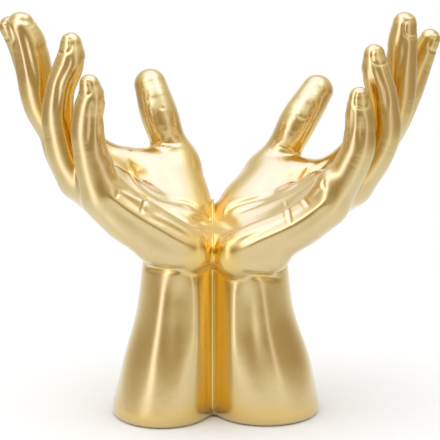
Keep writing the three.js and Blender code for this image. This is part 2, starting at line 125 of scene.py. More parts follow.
# The joint's bead: its radius, the height that it starts at, the steps along it, the tries at each step and
# its sides
BEAD_RADIUS = 1.0
BEAD_START = 4
BEAD_STEP = 2.5
BEAD_TRIES = 5
BEAD_SIDES = 16
# How widely the paint fills the valley beside the joint, at heights above the base
SEAM_HEIGHTS = [0, 98, 112, 126]
SEAM_FILLS = [9, 9, 6, 3]
# How far the bead sinks into the valley at those heights
BEAD_SINKS = [0, 0, 0.9, 1.5]
# How near the joint plane the other hand counts
SEAM_REACH = 14

# Nails: bearing of each nail's middle in degrees from the viewer, + to the right; sizes in tip radii and
# millimetres
NAILS = {
    "left": {"little": -35, "ring": -41, "middle": -80, "index": -45, "thumb": 175},
    "right": {"little": 10, "ring": 32, "middle": 40, "index": 48, "thumb": -175},
}
NAIL_LENGTH = 0.8
NAIL_WIDTH = 0.8
NAIL_TOP = 0.72
NAIL_GROOVE = 0.5
NAIL_FOLD = 0.9
NAIL_PLATE = 0.2
NAIL_EDGE = 0.45
NAIL_EDGE_WIDTH = 0.9
NAIL_EDGE_FADE = 1.5
NAIL_MARGIN = 0.5
NAIL_SQUARENESS = 2.5
# Finger pads and the creases across the joints
PAD_RISE = 0.5
CREASE_DEPTH = 0.3
CREASE_WIDTH = 1.0
WRINKLE_DEPTH = 0.08
WRINKLE_WIDTH = 0.8
WRINKLE_GAP = 2.0
# Knuckles and tendons on the backs of the hands; a tendon's ends are shares of its bone
KNUCKLE_RISE = 1.2
KNUCKLE_SPREAD = 6.0
TENDON_RISE = 0.7
TENDON_SPREAD = 3.2
TENDON_ENDS = (0.3, 0.2)
# How near a digit the surface is its own, how that fades, how far off the palm starts, and how far two digits
# have to be apart for either to be carved
DIGIT_REACH = 2.5
DIGIT_FADE = 1.5
PALM_START = 0.3
DIGITS_APART = 2.5
# From where a surface faces the viewer enough for the folds, and over what share that sets in
FACING = (0.05, 0.25)
# Folds: steps between two points of a line, the reach to each side in widths, and the fading ends, in widths
# and as the most of the line
FOLD_STEPS = 6
FOLD_REACH = 5
FOLD_FADE = 6
FOLD_FADE_MOST = 0.45
# Folds that show in the photo, as lines in its pixels: where they lie, the line, and the height, width and
# lip in millimetres; a lip stands up beside the line, below it or to its right where it is positive
FOLDS = {
    "left": {
        "life_line": ("palm", [(128, 156), (137, 180), (159, 197), (189, 203.5), (206, 216), (211, 222)],
                      -0.9, 1.3, 0.3),
        "inner_line": ("palm", [(116, 185), (145, 197), (176, 203.5), (203, 213)], -0.5, 1.3, 0.2),
        "heart_line": ("palm", [(147, 196), (143.5, 205), (141, 215)], -0.8, 0.95, 0.2),
        "heart_line_end": ("palm", [(141, 214), (152, 219), (166, 226)], -0.3, 1.2, 0),
        "outer_line": ("palm", [(121, 190), (117, 195), (115, 201)], -0.4, 1.0, 0.1),
        "crest_hollow": ("palm", [(147, 207), (165, 214), (186, 224), (204, 234)], -0.6, 1.8, 0.3),
        "crest_bevel": ("palm", [(112, 184), (122, 194), (141, 208), (174, 228), (202, 244)], -1.0, 2.8, 1.1),
        "heel_fold": ("palm", [(178, 212), (194, 219), (209, 227)], -0.5, 1.4, 0.2),
        "wrist_line": ("all", [(144, 266.5), (150, 268), (164, 269.8), (178, 270), (188, 267.5)],
                       -1.1, 1.6, -0.3),
        "thumb_base": ("all", [(151, 147.5), (159.6, 142), (171, 143), (187, 144.5)], -0.3, 1.0, 0.2),
        "thumb_band": ("thumb", [(138, 90), (147, 97), (160, 101), (177, 98)], -0.6, 4.0, 0),
        "thumb_dimple": ("thumb", [(161, 105.5), (162.5, 108), (164.5, 106)], -0.45, 1.1, 0.1),
        "middle_cap": ("middle", [(3, 21), (16, 20), (28, 21.6), (41, 22.5)], -0.6, 1.6, -0.5),
        "middle_groove": ("middle", [(20, 25), (26, 46), (31, 67), (38, 92)], -0.7, 2.0, 0.2),
        "middle_side": ("middle", [(13, 30), (18, 55), (24, 85)], -0.5, 1.6, 0.2),
        "ring_groove": ("ring", [(69.8, 49), (68.4, 64), (60, 82), (57.8, 97), (55, 120)], -0.8, 1.9, 0),
        "ring_side": ("ring", [(79, 72), (71, 86), (67.5, 106), (66.5, 130)], -0.5, 1.6, 0),
        "little_groove": ("little", [(93, 98), (91.5, 110), (90.5, 134), (88, 155)], -0.8, 1.9, 0),
        "little_side": ("little", [(101, 95), (101, 120), (100, 145)], -0.4, 1.6, 0),
        "arm_hollow": ("all", [(180, 270), (178, 295), (177, 335), (173, 412)], -1.9, 6.0, 0),
        "arm_tendon": ("all", [(167, 268), (162, 300), (157, 330), (152, 370), (148, 415)], 1.1, 6.0, 0),
        "arm_second": ("all", [(191, 266), (194, 290), (196, 325), (195, 390)], 1.1, 4.0, 0),
    },
    "right": {
        "life_line": ("palm", [(312, 163), (299, 182), (278.4, 193.5), (236, 205), (222.7, 217)],
                      -0.9, 1.3, 0.3),
        "inner_line": ("palm", [(336, 155), (311, 176), (289, 191), (262, 203), (228, 216)], -0.5, 1.3, 0.2),
        "heart_line": ("palm", [(285, 200), (287.2, 207), (289, 217), (292, 227)], -0.8, 0.95, 0.2),
        "second_notch": ("palm", [(301, 193), (304, 200), (311, 209)], -0.5, 1.0, 0.15),
        "outer_line": ("palm", [(326, 176), (323, 184), (328, 191)], -0.35, 1.0, 0.1),
        "crest_hollow": ("palm", [(328, 184), (308, 199), (284, 213), (256, 226), (232, 236)],
                         -0.6, 1.8, 0.3),
        "crest_bevel": ("palm", [(229, 248), (252, 235), (290, 216.5), (311, 202), (330, 187)],
                        -1.0, 2.8, 1.1),
        "wrist_line": ("all", [(238, 271.5), (252, 275), (266, 277), (284, 279.5)],
                       -1.1, 1.6, -0.4),
        "thumb_base": ("all", [(276, 145), (282, 146.5), (291.6, 149.5), (301, 157)], -0.3, 1.0, 0.2),
        "thumb_band": ("thumb", [(286, 100), (298, 103), (312, 108), (327, 107)], -0.6, 4.0, 0),
        "thumb_fold": ("thumb", [(283, 113), (296, 111), (300.4, 117), (315, 120)], -0.25, 1.1, 0.15),
        "middle_cap": ("middle", [(387, 23), (401, 20), (418, 23)], -0.3, 1.5, -0.3),
        "middle_groove": ("middle", [(403, 32), (404, 52), (399, 75), (392, 100)], -0.7, 2.0, 0),
        "ring_groove": ("ring", [(374, 58), (379, 75), (386, 95), (387, 118)], -0.8, 1.9, 0),
        "ring_side": ("ring", [(367, 62), (373, 84), (378, 104)], -0.4, 1.6, 0),
        "little_groove": ("little", [(361, 112), (362, 130), (360, 150)], -0.8, 1.9, 0),
        "little_side": ("little", [(352, 100), (352, 122), (348, 146)], -0.4, 1.6, 0),
        "arm_hollow": ("all", [(246, 277), (249, 300), (252, 340), (262, 412)], -1.9, 6.0, 0),
        "arm_tendon": ("all", [(255, 274), (262, 300), (268, 335), (277, 372), (288, 415)], 1.1, 6.0, 0),
        "arm_second": ("all", [(236, 272), (235, 300), (234, 340), (236, 400)], 1.1, 4.0, 0),
    },
}

# Gold paint in linear light, under its clear coat
GOLD_LIGHT = (0.675, 0.53, 0.25)
GOLD_DEEP = (0.645, 0.5, 0.225)
# The deep amber that is painted into the hollows and the valley over the joint as shade
GOLD_PAINTED_SHADE = (0.8, 0.51, 0.03)
# Painted shade in the valley over the joint, a deeper amber mixed into the gold: how much plain gold it
# leaves at the joint plane, how far out it reaches, the heights over which it sets in, and how high above the
# table the foot stays free of it
PAINTED_SHADE_LEAST = 0.1
PAINTED_SHADE_REACH = 20
PAINTED_SHADE_HEIGHTS = (88, 106)
PAINTED_SHADE_FOOT = 15
# Painted shade darkens the gold between surfaces up to this far apart, found by ambient occlusion; how much
# plain gold it leaves at the deepest and in the open
PAINTED_SHADE_DISTANCE = 30
PAINTED_SHADE_SAMPLES = 8
PAINTED_SHADE_DEEPEST = {"satin_gold": -0.9, "bead_gold": 0.6}
PAINTED_SHADE_OPEN = 1.3
COAT_IOR = 1.7
COAT_ROUGHNESS = 0.2
PAINT_ROUGHNESS = (0.19, 0.27)

# The other materials' two shades
STEEL = [(0.5, 0.51, 0.52), (0.64, 0.65, 0.66)]
RUBBER = [(0.012, 0.012, 0.013), (0.05, 0.048, 0.045)]
FELT = [(0.05, 0.035, 0.024), (0.2, 0.15, 0.11)]

# Mesh: the grid's cell, the cells along a block, how far the grid reaches past the flesh, and the steps that
# a chain's bones are first looked at in
CELL = 0.8
BLOCK = 6
GRID_MARGIN = 4
COARSE_STEPS = 3
FAR = 1e3
NUDGE = 0.02
LEAST_STEEPNESS = 0.25
RELAX_ROUNDS = 4
RELAX_SHARE = 0.6
# Clusters of points that are worked out together: whole blocks, points near the surface, and points on it
BLOCK_CLUSTER = 4 * BLOCK * CELL
NEAR_CLUSTER = 1.5 * BLOCK * CELL
SURFACE_CLUSTER = 18
CLUSTERS_ACROSS = 400

# Camera, from the seam frame, in millimetres; the scale is millimetres to a pixel where it is focused
PICTURE = 440
SENSOR = 36
FOCUS = np.array([4.6, 0, 121])
ELEVATION = math.radians(14)
DISTANCE = 1500
SCALE = 0.61
BACK = np.array([0, -math.cos(ELEVATION), math.sin(ELEVATION)])
UP = np.array([0, math.sin(ELEVATION), math.cos(ELEVATION)])


def smin(a, b, width):
    """The lesser of two, with a smooth blend."""
    h = np.maximum(width - np.abs(a - b), 0.0) / width
    return np.minimum(a, b) - h * h * h * width / 6.0


def smax(a, b, width):
    """The greater of two, with a smooth blend."""
    return -smin(-a, -b, width)


def along(stations, u):
    """Uniform Catmull-Rom values between evenly spaced stations, with u from 0 to 1 over them all."""
    s = np.asarray(stations, float)
    spans = len(s) - 1
    at = np.clip(u, 0, 1) * spans
    i = np.minimum(at.astype(int), spans - 1)
    t = at - i
    padded = np.concatenate([[2 * s[0] - s[1]], s, [2 * s[-1] - s[-2]]])
    a, b, c, d = (padded[i + k] for k in range(4))
    if s.ndim > 1:
        t = t[:, None]
    return 0.5 * (2 * b + (c - a) * t + (2 * a - 5 * b + 4 * c - d) * t ** 2
                  + (3 * b - a - 3 * c + d) * t ** 3)


class Chain:
    """Tapered round flesh along a smooth curve through a chain of joints."""

    def __init__(self, side, root, lengths, leans, splays, girths):
        point = np.array([side * root[0], root[1], WRIST_HEIGHT + root[2]], float)
        joints = [point]
        for length, lean, splay in zip(lengths, np.radians(leans), np.radians(splays)):
            step = np.array([side * math.sin(lean) * math.cos(splay), math.sin(splay),
                             math.cos(lean) * math.cos(splay)])
            point = point + length * step
            joints.append(point)
        self.joints = np.column_stack([joints, girths])
        s = np.concatenate([[2 * self.joints[0] - self.joints[1]], self.joints,
                            [2 * self.joints[-1] - self.joints[-2]]])
        a, b, c, d = s[:-3], s[1:-2], s[2:-1], s[3:]
        self.powers = [b, (c - a) / 2, (2 * a - 5 * b + 4 * c - d) / 2, (3 * b - a - 3 * c + d) / 2]
        self._span(0, len(lengths))

    def _span(self, first, last):
        self.first, self.last = first, last
        u = np.linspace(first, last, (last - first) * COARSE_STEPS + 1)
        self.starts = u[:-1]
        points = self.at(u)
        self.points = points
        a, b = points[:-1], points[1:]
        self.middles = (a + b)[:, :3] / 2
        self.halves = np.linalg.norm((b - a)[:, :3], axis=1) / 2
        self.least, self.most = (a + b)[:, 3] / 2, np.maximum(a[:, 3], b[:, 3])

    def at(self, u, slope=False):
        """Point and radius on the curve at a count of joints, or how they change there."""
        i = np.minimum(u.astype(int), len(self.powers[0]) - 1)
        t = (u - i)[:, None]
        b0, b1, b2, b3 = (power[i] for power in self.powers)
        return b1 + t * (2 * b2 + t * 3 * b3) if slope else b0 + t * (b1 + t * (b2 + t * b3))

    def part(self, first, last):
        """The same chain between two of its joints."""
        piece = object.__new__(Chain)
        piece.joints, piece.powers = self.joints, self.powers
        piece._span(first, last)
        return piece

    def reach(self, middle, radius):
        """Least and most that the distance can be in a ball, for each coarse step."""
        gap = np.linalg.norm(self.middles - middle, axis=1)
        return gap - self.halves - radius - self.most - 1, gap + radius - self.least

    def nearest(self, p, steps):
        """Distance by coarse steps, and where on the curve it was found."""
        best = np.full(len(p), FAR, p.dtype)
        found = np.zeros(len(p), p.dtype)
        x, y, z = np.ascontiguousarray(p.T)
        for i in steps:
            a, b = self.points[i].astype(p.dtype), self.points[i + 1].astype(p.dtype)
            dx, dy, dz, dr = b - a
            px, py, pz = x - a[0], y - a[1], z - a[2]
            t = px * dx
            t += py * dy
            t += pz * dz
            t /= dx * dx + dy * dy + dz * dz
            np.clip(t, 0, 1, out=t)
            px -= dx * t
            py -= dy * t
            pz -= dz * t
            px *= px
            py *= py
            pz *= pz
            px += py
            px += pz
            gap = np.sqrt(px, out=px)
            gap -= a[3] + dr * t
            found = np.where(gap < best, self.starts[i].astype(p.dtype) + t / COARSE_STEPS, found)
            best = np.minimum(best, gap)
        return best, found

    def distance(self, p, least, most, fine):
        """Distance to the flesh: by coarse steps alone, or from the true curve."""
        best, u = self.nearest(p, np.flatnonzero(least <= most.min()))
        if not fine:
            return best
        for _ in range(2):
            here, change = self.at(u), self.at(u, True)
            off = p - here[:, :3]
            u = np.clip(u + (off * change[:, :3]).sum(1) / (change[:, :3] ** 2).sum(1), self.first, self.last)
        here = self.at(u)
        return np.linalg.norm(p - here[:, :3], axis=1) - here[:, 3]


def forearm_distance(side, half_widths, half_depths, shift, p):
    """Distance to a flared oval forearm with a rounded top and foot."""
    x, y, z = p.T
    u = z / WRIST_HEIGHT
    a, b = along(half_widths, u), along(half_depths, u)
    px, py = x - side * (a - MATING_FLAT), y - shift
    k0 = np.hypot(px / a, py / b)
    k1 = np.hypot(px / a ** 2, py / b ** 2) + 1e-9
    wall = k0 * (k0 - 1) / k1
    capped = smax(wall, z - WRIST_HEIGHT - FOREARM_RISE, FOREARM_TOP_ROUND)
    return smax(capped, -z - BASE_SINK, BASE_EDGE_ROUND)


class Hand:
    """The field of one casting, before it is cut at the joint plane and the base."""

    def __init__(self, name):
        self.name = name
        self.side = SIDES[name]
        self.chains = {}
        for key, (lengths, girths, splays, _) in RAYS.items():
            root, leans, reach = POSES[name][key]
            girths = np.add(girths, FULLER.get((name, key), 0))
            self.chains[key] = Chain(self.side, root, np.multiply(lengths, reach), leans, splays, girths)
        self.palm = [self.chains[key].part(0, RAYS[key][3]) for key in RAYS]
        self.digits = {key: self.chains[key].part(RAYS[key][3], len(RAYS[key][0])) for key in RAYS}
        self.flesh = {}
        for key, (lengths, girths, splays) in FLESH_SHAPES.items():
            root, leans = FLESH[name][key]
            self.flesh[key] = Chain(self.side, root, lengths, leans, splays, girths)

    def _field(self, p, fine):
        """Distance at points that lie close together."""
        low, high = p.min(0), p.max(0)
        middle, radius = (low + high) / 2, np.linalg.norm(high - low) / 2
        forms = {**{("palm", i): c for i, c in enumerate(self.palm)}, **self.digits, **self.flesh}
        reaches = {key: form.reach(middle, radius) for key, form in forms.items()}
        limit = min(most.min() for _, most in reaches.values()) + BLENDS["knuckles"]

        def join(whole, key, width):
            least, most = reaches[key]
            if least.min() > limit + width:
                return whole
            return smin(whole, forms[key].distance(p, least, most, fine), width)

        palm = np.full(len(p), FAR)
        for i in range(len(self.palm)):
            palm = join(palm, ("palm", i), BLENDS["palm"])
        for key in self.flesh:
            palm = join(palm, key, BLENDS[key])
        fingers = np.full(len(p), FAR)
        for key in self.digits:
            if key != "thumb":
                fingers = join(fingers, key, BLENDS["fingers"])
        whole = join(smin(palm, fingers, BLENDS["knuckles"]), "thumb", BLENDS["thumb"])
        return smin(whole, forearm_distance(self.side, p=p, **FOREARMS[self.name]), BLENDS["wrist"])

    def field(self, p, cluster, fine=False):
        """Distance at each point, worked out cluster by cluster so that far forms are passed over."""
        cell = np.floor(p / cluster).astype(int) + CLUSTERS_ACROSS // 2
        key = (cell[:, 0] * CLUSTERS_ACROSS + cell[:, 1]) * CLUSTERS_ACROSS + cell[:, 2]
        order = np.argsort(key, kind="stable")
        out = np.zeros(len(p))
        for group in np.split(order, np.flatnonzero(np.diff(key[order])) + 1):
            out[group] = self._field(p[group], fine)
        return out

    def box(self):
        """The corners of a box round the fingers and the foot, past the joint plane and the base."""
        joints = np.concatenate([c.joints for c in self.chains.values()])
        low = (joints[:, :3] - joints[:, 3:]).min(0) - GRID_MARGIN
        high = (joints[:, :3] + joints[:, 3:]).max(0) + GRID_MARGIN
        far_side = self.side * 2 * FOREARMS[self.name]["half_widths"][0]
        depth = FOREARMS[self.name]["half_depths"][0] + GRID_MARGIN
        x_low, x_high = sorted([far_side, -GRID_MARGIN * self.side])
        low = np.minimum(low, [x_low - GRID_MARGIN, -depth, -GRID_MARGIN])
        high = np.maximum(high, [x_high + GRID_MARGIN, depth, 0])
        return low, high


def sample_grid(field, low, high):
    """Field values on a grid, worked out only in the blocks that the surface may cross."""
    blocks = np.ceil((high - low) / CELL / BLOCK).astype(int)
    values = np.full(blocks * BLOCK + 1, FAR, np.float32)
    index = np.stack(np.meshgrid(*[np.arange(m) for m in blocks], indexing="ij"), -1).reshape(-1, 3)
    middle = field(low + (index * BLOCK + BLOCK / 2) * CELL, BLOCK_CLUSTER)
    near = np.abs(middle) < BLOCK * CELL
    for i, j, k in index[~near & (middle < 0)] * BLOCK:
        values[i:i + BLOCK + 1, j:j + BLOCK + 1, k:k + BLOCK + 1] = -FAR
    local = np.stack(np.meshgrid(*[np.arange(BLOCK + 1)] * 3, indexing="ij"), -1).reshape(-1, 3)
    found = (index[near][:, None, :] * BLOCK + local).reshape(-1, 3)
    flat = np.unique(np.ravel_multi_index(found.T, values.shape))
    points = (low + np.stack(np.unravel_index(flat, values.shape), -1) * CELL).astype(np.float32)
    values.reshape(-1)[flat] = field(points, NEAR_CLUSTER)
    return values


def surface_nets(values, low):
    """One vertex in each cell that the surface crosses, and a quad across each crossed grid edge."""
    inside = values < 0
    n = np.array(values.shape)
    corners = [(i, j, k) for i in (0, 1) for j in (0, 1) for k in (0, 1)]
    filled = sum(inside[i:n[0] - 1 + i, j:n[1] - 1 + j, k:n[2] - 1 + k].astype(np.uint8)
                 for i, j, k in corners)
    cells = np.argwhere((filled > 0) & (filled < 8))
    index = np.full(n - 1, -1)
    index[tuple(cells.T)] = np.arange(len(cells))
    total = np.zeros((len(cells), 3))
    count = np.zeros((len(cells), 1))
    for corner in corners:
        for axis in range(3):
            if corner[axis]:
                continue
            other = list(corner)
            other[axis] = 1
            a = values[tuple((cells + corner).T)].astype(float)
            b = values[tuple((cells + other).T)].astype(float)
            crossed = (a < 0) != (b < 0)
            spot = np.tile(np.array(corner, float), (len(cells), 1))
            spot[:, axis] += np.where(crossed, a / np.where(crossed, a - b, 1), 0)
            total += np.where(crossed[:, None], spot, 0)
            count += crossed[:, None]
    quads = []
    for axis in range(3):
        u, w = (axis + 1) % 3, (axis + 2) % 3
        here = inside.take(np.arange(n[axis] - 1), axis)
        there = inside.take(np.arange(1, n[axis]), axis)
        edge = np.argwhere(here != there)
        edge = edge[(edge[:, u] > 0) & (edge[:, w] > 0) & (edge[:, u] < n[u] - 1) & (edge[:, w] < n[w] - 1)]
        du, dw = np.eye(3, dtype=int)[u], np.eye(3, dtype=int)[w]
        ring = np.stack([index[tuple((edge - s).T)] for s in (du + dw, dw, 0 * du, du)], 1)
        flipped = ~here[tuple(edge.T)]
        ring[flipped] = ring[flipped][:, ::-1]
        quads.append(ring)
    return low + (cells + total / count) * CELL, np.concatenate(quads)


def settle(field, points):
    """Moves points along the fine field's slope onto its surface."""
    offsets = [np.zeros(3), *(NUDGE * np.eye(3))]
    values = field(np.concatenate([points + o for o in offsets]), SURFACE_CLUSTER, True)
    values = values.reshape(4, -1)
    slope = (values[1:] - values[0]).T / NUDGE
    steepness = np.maximum((slope ** 2).sum(1), LEAST_STEEPNESS)[:, None]
    points = points - slope * np.clip(values[0][:, None] / steepness, -CELL, CELL)
    left_over = field(points, SURFACE_CLUSTER, True)[:, None]
    return points - slope * np.clip(left_over / steepness, -CELL / 2, CELL / 2)


def relax(points, quads):
    """Evens out the spacing of the points by drawing each towards its neighbours."""
    corner = quads.ravel()
    for _ in range(RELAX_ROUNDS):
        beside = points[np.roll(quads, 1, 1)] + points[np.roll(quads, -1, 1)]
        count = 2 * np.bincount(corner, minlength=len(points))[:, None]
        total = np.column_stack([np.bincount(corner, axis.ravel(), len(points))
                                 for axis in beside.transpose(2, 0, 1)])
        points = points + RELAX_SHARE * (total / np.maximum(count, 1) - points)
    return points


def vertex_normals(points, quads):
    """Each point's normal, from the faces round it."""
    a, b, c, d = (points[quads[:, k]] for k in range(4))
    face = np.cross(c - a, d - b)
    normals = np.zeros_like(points)
    for k in range(4):
        np.add.at(normals, quads[:, k], face)
    return normals / np.maximum(np.linalg.norm(normals, axis=1), 1e-9)[:, None]


def seam_filled(name):
    """One casting's field, with the valley beside the joint filled as the paint fills it."""
    own, other = hands[name], hands["right" if name == "left" else "left"]

    def field(p, cluster, fine=False):
        values = own.field(p, cluster, fine)
        near = np.abs(p[:, 0]) < SEAM_REACH
        if near.any():
            width = np.interp(p[near, 2], SEAM_HEIGHTS, SEAM_FILLS)
            values[near] = smin(values[near], other.field(p[near], cluster, fine), width)
        return values
    return field


def bead_line():
    """The middle of the joint's bead, from the foot at the front over the top and down the back."""
    def outline(y, z):
        """How far a spot on the joint plane is from the bead's middle line, and the slope of that."""
        p = np.array([[0, y, z], [0, y + NUDGE, z], [0, y, z + NUDGE]], float)
        values = np.minimum(*(hand.field(p, FAR, True) for hand in hands.values())) - BEAD_RADIUS
        return values[0], (values[1:] - values[0]) / NUDGE

    spot = np.array([0.0, BEAD_START])
    while outline(*spot)[0] < 0:
        spot[0] -= 1
    line = []
    while not line or spot[1] >= BEAD_START:
        for _ in range(BEAD_TRIES):
            value, slope = outline(*spot)
            move = slope * value / max(slope @ slope, 0.05)
            spot = spot - move * min(1, BEAD_STEP / max(np.linalg.norm(move), 1e-9))
        slope = outline(*spot)[1]
        slope /= np.linalg.norm(slope)
        line.append((*spot, *slope))
        spot = spot + BEAD_STEP * np.array([slope[1], -slope[0]])
    line = [(y - sink * oy, z - sink * oz, oy, oz) for y, z, oy, oz in line
            for sink in [np.interp(z, SEAM_HEIGHTS, BEAD_SINKS)]]
    line[0] = (line[0][0], BEAD_START, -1, 0)
    line[-1] = (line[-1][0], BEAD_START, 1, 0)
    return np.array(line)


def bead_mesh(name):
    """The bead as a round bar along its line, closed at both ends."""
    line = bead_line()
    line[1:-1] = (line[:-2] + 2 * line[1:-1] + line[2:]) / 4
    line[:, 2:] /= np.linalg.norm(line[:, 2:], axis=1)[:, None]
    turns = np.arange(BEAD_SIDES) * 2 * math.pi / BEAD_SIDES
    points = np.array([[BEAD_RADIUS * math.sin(t), y + BEAD_RADIUS * math.cos(t) * oy,
                        z + BEAD_RADIUS * math.cos(t) * oz]
                       for y, z, oy, oz in line for t in turns])
    rings = len(line)
    faces = [[r * BEAD_SIDES + i, r * BEAD_SIDES + (i + 1) % BEAD_SIDES,
              (r + 1) * BEAD_SIDES + (i + 1) % BEAD_SIDES, (r + 1) * BEAD_SIDES + i]
             for r in range(rings - 1) for i in range(BEAD_SIDES)]
    faces += [list(range(BEAD_SIDES))[::-1], list(range((rings - 1) * BEAD_SIDES, rings * BEAD_SIDES))]
    obj = mesh_object(name, points, faces)
    bm = bmesh.new()
    bm.from_mesh(obj.data)
    bmesh.ops.recalc_face_normals(bm, faces=bm.faces[:])
    bm.to_mesh(obj.data)
    bm.free()
    return obj


def seen(points):
    """Where points show in the photo, in its pixels."""
    off = points - FOCUS
    near = DISTANCE / (DISTANCE - off @ BACK) / SCALE
    return np.column_stack([PICTURE / 2 + off[:, 0] * near, PICTURE / 2 - off @ UP * near])


def rising(value, start, spread):
    """0 up to the start, 1 past the spread, and a straight line between them."""
    return np.clip((value - start) / spread, 0, 1)


def fold(spots, line, height, width, lip):
    """Height of one fold at each spot, fading towards its ends."""
    line = np.array(line, float)
    knots = along(line, np.linspace(0, 1, FOLD_STEPS * (len(line) - 1) + 1))
    reach = FOLD_REACH * width / SCALE
    inside = np.flatnonzero(((spots > knots.min(0) - reach) & (spots < knots.max(0) + reach)).all(1))
    near = spots[inside]
    best, place, side = np.full(len(near), FAR), np.zeros(len(near)), np.ones(len(near))
    for i, (a, b) in enumerate(zip(knots[:-1], knots[1:])):
        step, off = b - a, near - a
        t = np.clip(off @ step / (step @ step), 0, 1)
        gap = np.linalg.norm(off - t[:, None] * step, axis=1)
        closer = gap < best
        best = np.where(closer, gap, best)
        place = np.where(closer, (i + t) / (len(knots) - 1), place)
        side = np.where(closer, np.sign(step[0] * off[:, 1] - step[1] * off[:, 0]), side)
    off = best * side * SCALE
    length = np.linalg.norm(np.diff(knots, axis=0), axis=1).sum() * SCALE
    fade = min(FOLD_FADE * width / length, FOLD_FADE_MOST)
    ends = rising(np.minimum(place, 1 - place), 0, fade)
    out = np.zeros(len(spots))
    rise = height * np.exp(-(off / width) ** 2) + abs(lip) * np.exp(-(off / width - 2 * np.sign(lip)) ** 2)
    out[inside] = ends * ends * (3 - 2 * ends) * rise
    return out


def nail(chain, points, out):
    """Height of a nail plate let into the back of a fingertip, with a fold round it and a free edge."""
    tip, radius = chain.joints[-1, :3], chain.joints[-1, 3]
    axis = tip - chain.joints[-2, :3]
    axis /= np.linalg.norm(axis)
    out = out - (out @ axis) * axis
    out /= np.linalg.norm(out)
    off = points - tip
    up, turn = off @ axis, np.arctan2(off @ np.cross(axis, out), off @ out) * radius
    half, wide = NAIL_LENGTH * radius, NAIL_WIDTH * radius
    middle = NAIL_TOP * radius - half
    squared = np.abs((up - middle) / half) ** NAIL_SQUARENESS + np.abs(turn / wide) ** NAIL_SQUARENESS
    rim = (squared ** (1 / NAIL_SQUARENESS) - 1) * wide
    plate = rising(-rim, 0, NAIL_FOLD)
    edge = np.exp(-((up - middle - half + NAIL_MARGIN) / NAIL_EDGE_WIDTH) ** 2)
    edge *= rising(wide - np.abs(turn), 0, NAIL_EDGE_FADE)
    groove = np.exp(-(rim / NAIL_FOLD) ** 2) * (1 - edge)
    return NAIL_EDGE * edge * (rim < NAIL_MARGIN) - NAIL_GROOVE * groove + NAIL_PLATE * plate


def joint_creases(key, place, normals, out):
    """Height of a digit's pads, and of the creases and wrinkles across its joints."""
    lengths, first = RAYS[key][0], RAYS[key][3]
    inner, outer = np.clip(-normals @ out, 0, 1), np.clip(normals @ out, 0, 1)
    raised = inner * PAD_RISE * np.sin(math.pi * place) ** 2
    for joint in range(first + 1, len(lengths)) if key != "thumb" else []:
        off = (place - joint) * lengths[joint]
        raised -= np.sqrt(inner) * CREASE_DEPTH * np.exp(-(off / CREASE_WIDTH) ** 2)
        for step in (-1, 0, 1):
            raised -= outer * WRINKLE_DEPTH * np.exp(-((off - step * WRINKLE_GAP) / WRINKLE_WIDTH) ** 2)
    return raised


def knuckle(hand, key, points, normals, palm):
    """Height of a finger's knuckle and of the tendon that leads to it, on the back of the hand."""
    ray, first = hand.chains[key], RAYS[key][3]
    row = hand.chains["index"].joints[2, :3] - hand.chains["little"].joints[2, :3]
    base = ray.joints[first - 1, :3]
    way = ray.joints[first, :3] - base
    away = np.cross(row, way) * hand.side
    away /= np.linalg.norm(away)
    peak = ray.joints[first, :3] + ray.joints[first, 3] * away
    spread = np.linalg.norm(points - peak, axis=1) / KNUCKLE_SPREAD
    reach = (points - base) @ way / (way @ way)
    across = np.cross(away, way)
    across /= np.linalg.norm(across)
    aside = (points - base) @ across / TENDON_SPREAD
    ends = rising(reach, 0, TENDON_ENDS[0]) * rising(1 - reach, 0, TENDON_ENDS[1])
    tendon = palm * ends * TENDON_RISE * np.exp(-aside ** 2)
    return np.clip(normals @ away, 0, 1) * (KNUCKLE_RISE * np.exp(-spread ** 2) + tendon)


def carve(hand, points, normals):
    """How far the fine forms move each point along its normal."""
    found = {key: digit.nearest(points, range(len(digit.starts))) for key, digit in hand.digits.items()}
    gaps = np.array([gap for gap, _ in found.values()])
    nearest = gaps.argmin(0)
    gap, second = np.sort(gaps, axis=0)[:2]
    palm = rising(gap, PALM_START, DIGIT_FADE)
    facing = rising(normals @ BACK, *FACING)
    apart = rising(second - gap, 0, DIGITS_APART)
    close = rising(DIGIT_REACH - gap, 0, DIGIT_FADE)
    own = {key: apart * (nearest == k) for k, key in enumerate(found)}
    weights = {"all": facing, "palm": palm * facing}
    weights.update({key: facing * close * share for key, share in own.items()})
    spots = seen(points)
    raised = np.zeros(len(points))
    for where, line, height, width, lip in FOLDS[hand.name].values():
        raised += weights[where] * fold(spots, line, height, width, lip)
    for key, (_, place) in found.items():
        bearing = math.radians(NAILS[hand.name][key])
        out = np.array([math.sin(bearing), -math.cos(bearing), 0])
        raised += close * own[key] * joint_creases(key, place, normals, out)
        raised += (gap < DIGIT_REACH) * own[key] * nail(hand.digits[key], points, out)
        if key != "thumb":
            raised += knuckle(hand, key, points, normals, palm)
    return raised


def seam_foot():
    """The foot of the joint plane in the part's frame: the left plug sits on its forearm's axis."""
    low, high = (np.array(corner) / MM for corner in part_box("left_base_plug"))
    middle = (low + high) / 2
    forearm = FOREARMS["left"]
    return np.array([middle[0] + forearm["half_widths"][0] - MATING_FLAT, middle[1] - forearm["shift"],
                     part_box("left_hand_casting")[0].z / MM])


ORIGIN = seam_foot()


def mesh_object(name, points, faces):
    """A smooth-shaded object, from points in the seam frame."""
    mesh = bpy.data.meshes.new(name)
    mesh.from_pydata(((points + ORIGIN) * MM).tolist(), [], [list(map(int, f)) for f in faces])
    mesh.update()
    mesh.polygons.foreach_set("use_smooth", [True] * len(mesh.polygons))
    obj = bpy.data.objects.new(name, mesh)
    bpy.context.scene.collection.objects.link(obj)
    return obj


